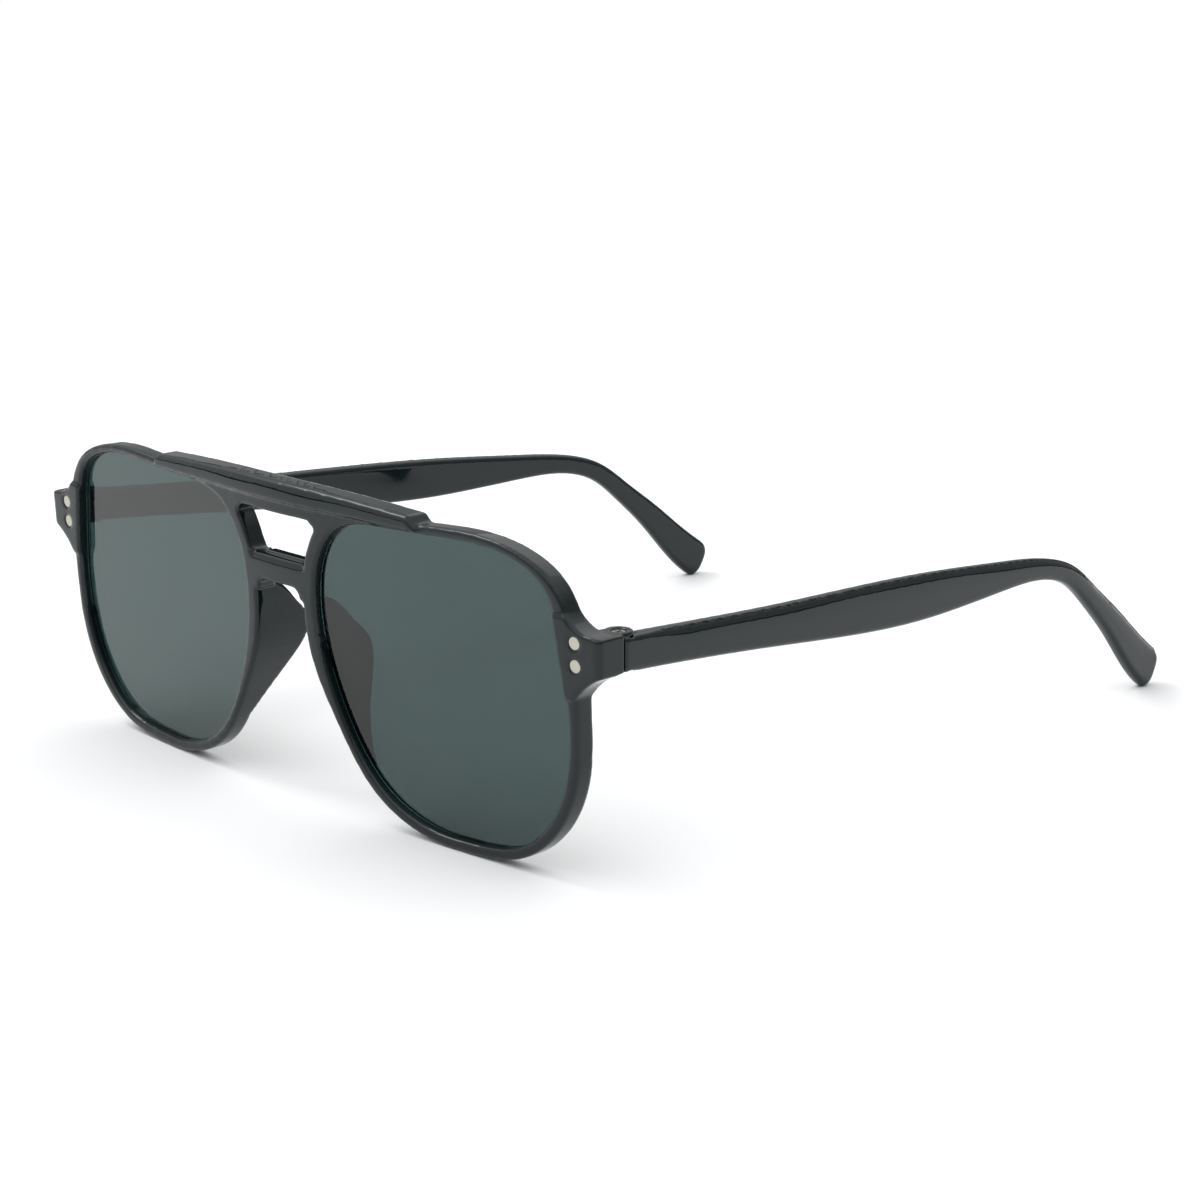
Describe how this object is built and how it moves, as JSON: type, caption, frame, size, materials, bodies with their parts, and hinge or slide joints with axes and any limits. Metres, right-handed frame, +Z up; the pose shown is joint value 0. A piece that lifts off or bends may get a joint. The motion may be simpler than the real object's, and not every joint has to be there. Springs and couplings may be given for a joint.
{
  "type": "sunglasses",
  "caption": "Aviator sunglasses with a thick glossy plastic front, brow bar over an open bridge window, flat tinted lenses and folding temples.",
  "frame": {"origin": "on the table, midway between the two sides and midway between the front of the brow bar and the temple tips", "axes": "+Z up with the glasses standing open on their rims and temple tips, +X to the wearer's left, +Y back along the temples; the lenses look towards -Y"},
  "size_m": [0.1418, 0.1643, 0.0551],
  "materials": {
    "frame_plastic": "polished injection-moulded black",
    "temple_plastic": "polished injection-moulded black",
    "lens_glass": "grey-green tint, polished",
    "rivet_steel": "turned and polished",
    "screw_steel": "machined"
  },
  "bodies": {
    "front": {"front_frame": "frame_plastic", "lens_left": "lens_glass", "lens_right": "lens_glass", "hinge_screw_left": "screw_steel", "hinge_screw_right": "screw_steel", "rivet_upper_left": "rivet_steel", "rivet_lower_left": "rivet_steel", "rivet_upper_right": "rivet_steel", "rivet_lower_right": "rivet_steel"},
    "left_temple": {"temple_left": "temple_plastic"},
    "right_temple": {"temple_right": "temple_plastic"}
  },
  "joints": [
    {"name": "left_hinge", "type": "hinge", "parent": "front", "child": "left_temple", "pos_m": [0.0678, -0.0688, 0.0379], "axis": [0, 0, 1], "range_deg": [0, 84]},
    {"name": "right_hinge", "type": "hinge", "parent": "front", "child": "right_temple", "pos_m": [-0.0678, -0.0688, 0.0379], "axis": [0, 0, -1], "range_deg": [0, 73]}
  ]
}
